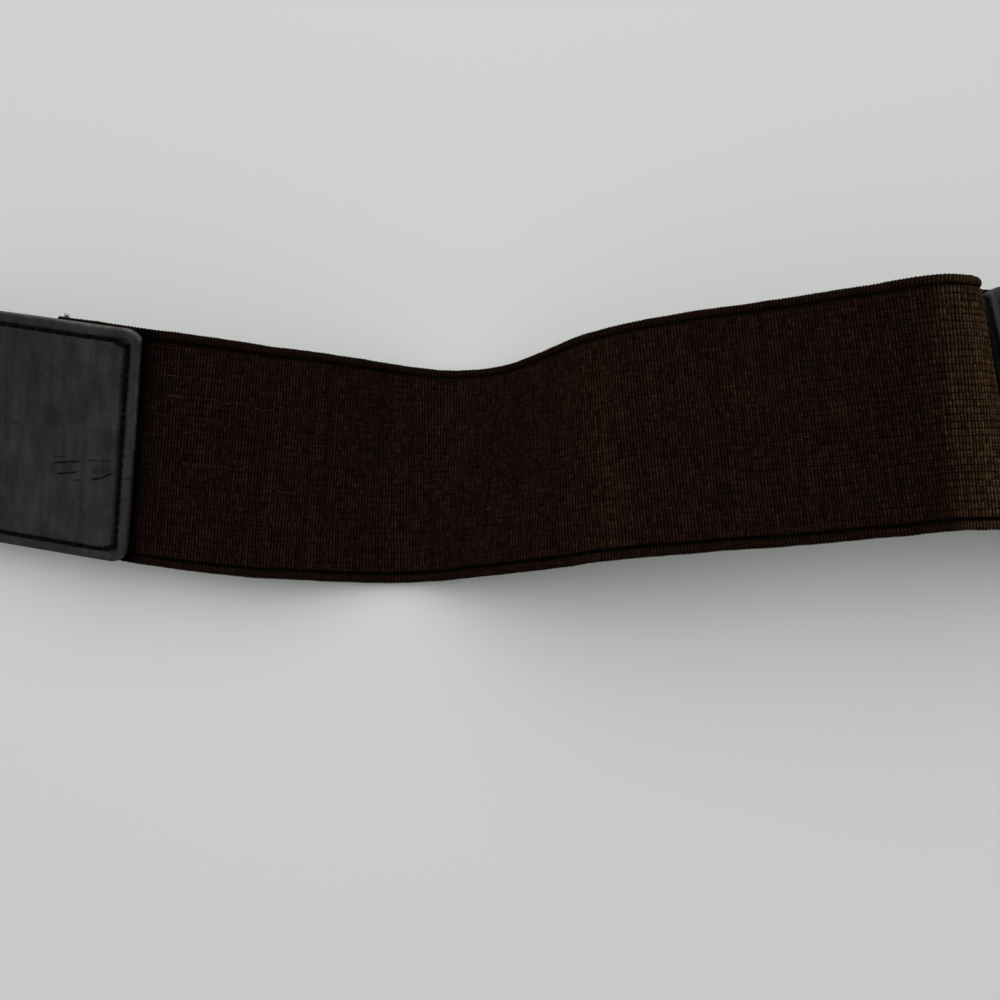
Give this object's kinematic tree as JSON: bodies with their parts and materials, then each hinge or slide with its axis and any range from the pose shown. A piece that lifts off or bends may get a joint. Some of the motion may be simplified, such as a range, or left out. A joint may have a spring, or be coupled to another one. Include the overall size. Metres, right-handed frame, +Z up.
{
  "type": "stretch belt",
  "caption": "Open stretch belt lying in waves: a dark brown woven elastic panel sewn under two dark grey leather arms, with a plain prong buckle and a punched tip.",
  "frame": {"origin": "on the table under the middle of the whole belt's outer box", "axes": "+X along the belt from the buckle to the punched tip, +Y across it away from the viewer, +Z up from the table"},
  "size_m": [0.7628, 0.1198, 0.0399],
  "materials": {
    "elastic": "ribbed woven elastic, dark brown, matt",
    "leather": "worn dark grey grained leather, low sheen",
    "steel": "plain satin steel"
  },
  "bodies": {
    "root": {"elastic_panel": "elastic", "left_leather_arm": "leather", "right_leather_arm": "leather", "buckle": "steel"}
  },
  "joints": []
}
